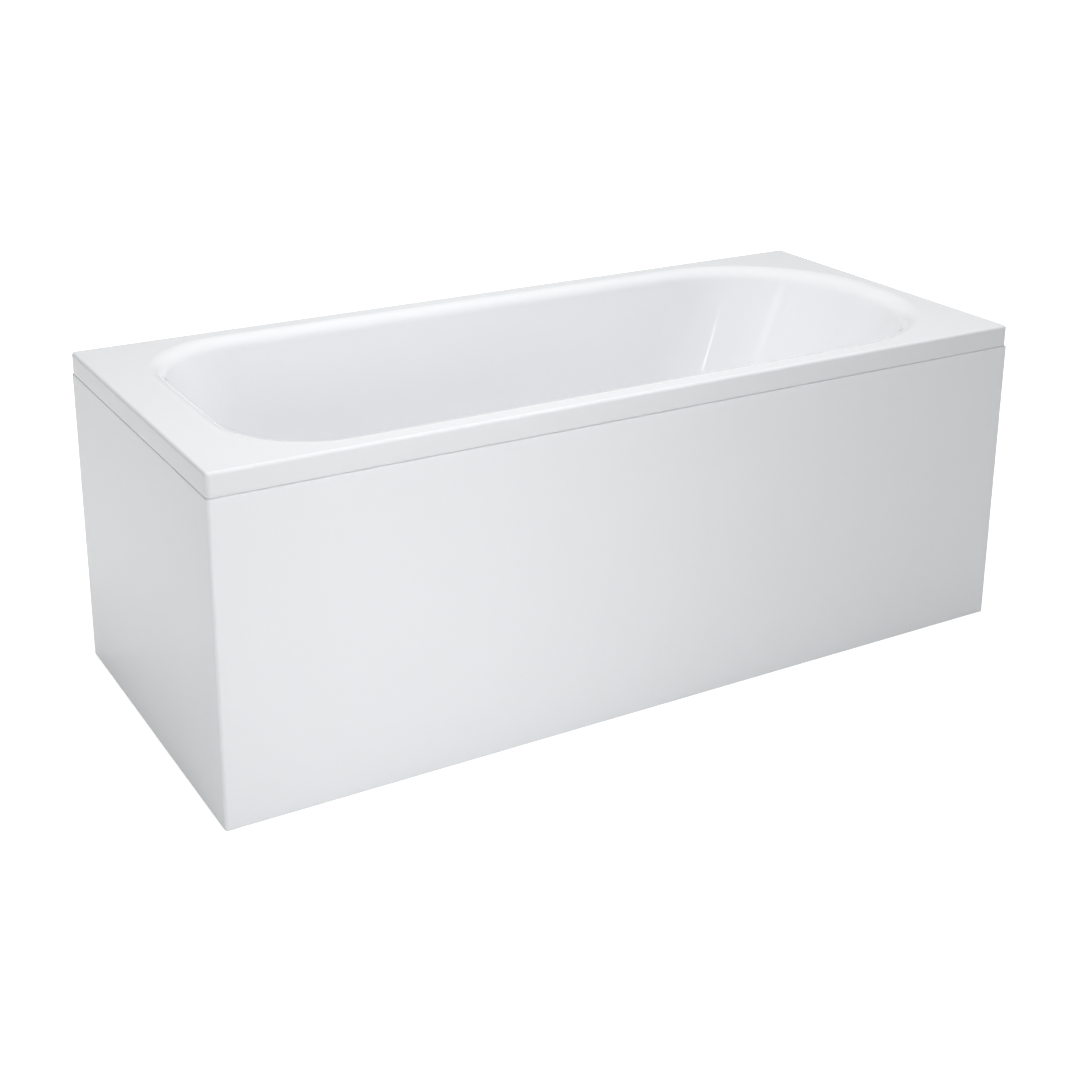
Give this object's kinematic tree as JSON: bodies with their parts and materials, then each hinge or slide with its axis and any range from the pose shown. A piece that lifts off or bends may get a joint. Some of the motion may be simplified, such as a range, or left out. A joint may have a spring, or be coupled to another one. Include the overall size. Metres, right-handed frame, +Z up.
{
  "type": "bathtub",
  "caption": "Straight acrylic bath for a room corner, one end rounded, with an L-shaped front and end panel, adjustable feet, pop-up waste, overflow knob and trap.",
  "frame": {"origin": "on the floor, under the middle of the rim", "axes": "+X from the foot (waste) end to the head end, +Y from the open front to the wall behind, +Z up"},
  "size_m": [1.6, 0.7, 0.6],
  "materials": {
    "acrylic": "glossy",
    "panel": "glossy",
    "chipboard": "matte",
    "timber": "matte",
    "zinc_steel": "satin",
    "bright_steel": "satin",
    "chrome": "polished",
    "brass": "satin",
    "rubber": "matte",
    "white_plastic": "matte",
    "grey_plastic": "matte",
    "black_plastic": "matte",
    "cable_sheath": "satin"
  },
  "bodies": {
    "root": {"bath_shell": "acrylic", "cross_rail_foot": "zinc_steel", "cross_rail_head": "zinc_steel", "floor_board": "chipboard", "l_panel": "panel", "lock_nuts": "bright_steel", "outlet_nut": "grey_plastic", "overflow_grate": "chrome", "overflow_housing": "white_plastic", "overflow_pipe": "white_plastic", "overflow_screws": "bright_steel", "overflow_seal": "rubber", "panel_batten_foot": "timber", "panel_batten_front": "timber", "panel_bracket_foot_1": "zinc_steel", "panel_bracket_foot_2": "zinc_steel", "panel_bracket_front_1": "zinc_steel", "panel_bracket_front_2": "zinc_steel", "panel_bracket_front_3": "zinc_steel", "panel_bracket_screws": "bright_steel", "pipe_nut_bottom": "grey_plastic", "pipe_nut_top": "grey_plastic", "pull_cable": "cable_sheath", "rail_nuts": "bright_steel", "rail_screws": "bright_steel", "rim_batten_back": "timber", "rim_batten_foot": "timber", "rim_batten_front": "timber", "trap_body": "white_plastic", "trap_nut": "grey_plastic", "trap_washer": "rubber", "wall_bracket_back_foot": "zinc_steel", "wall_bracket_back_head": "zinc_steel", "wall_bracket_head": "zinc_steel", "waste_body": "white_plastic", "waste_flange": "chrome", "waste_seal": "rubber"},
    "knob": {"overflow_knob": "chrome", "knob_spindle": "brass"},
    "plug": {"plug_cap": "chrome", "plug_seal": "rubber", "plug_stem": "brass"},
    "leg_front_foot": {"leg_rod_front_foot": "bright_steel", "foot_pad_front_foot": "black_plastic"},
    "leg_front_head": {"leg_rod_front_head": "bright_steel", "foot_pad_front_head": "black_plastic"},
    "leg_back_foot": {"leg_rod_back_foot": "bright_steel", "foot_pad_back_foot": "black_plastic"},
    "leg_back_head": {"leg_rod_back_head": "bright_steel", "foot_pad_back_head": "black_plastic"}
  },
  "joints": [
    {"name": "knob_turn", "type": "hinge", "parent": "root", "child": "knob", "pos_m": [-0.68259, 0, 0.522], "axis": [0.9848, 0, 0.1736], "range_deg": [0, 90]},
    {"name": "plug_lift", "type": "slide", "parent": "root", "child": "plug", "axis": [0, 0, 1], "range_m": [0, 0.0081]},
    {"name": "front_foot_level", "type": "slide", "parent": "root", "child": "leg_front_foot", "axis": [0, 0, 1], "range_m": [-0.02, 0.01]},
    {"name": "front_head_level", "type": "slide", "parent": "root", "child": "leg_front_head", "axis": [0, 0, 1], "range_m": [-0.02, 0.01]},
    {"name": "back_foot_level", "type": "slide", "parent": "root", "child": "leg_back_foot", "axis": [0, 0, 1], "range_m": [-0.02, 0.01]},
    {"name": "back_head_level", "type": "slide", "parent": "root", "child": "leg_back_head", "axis": [0, 0, 1], "range_m": [-0.02, 0.01]}
  ],
  "couplings": [
    {"joint": "plug_lift", "follows": "knob_turn", "m_per_rad": 0.005093}
  ]
}
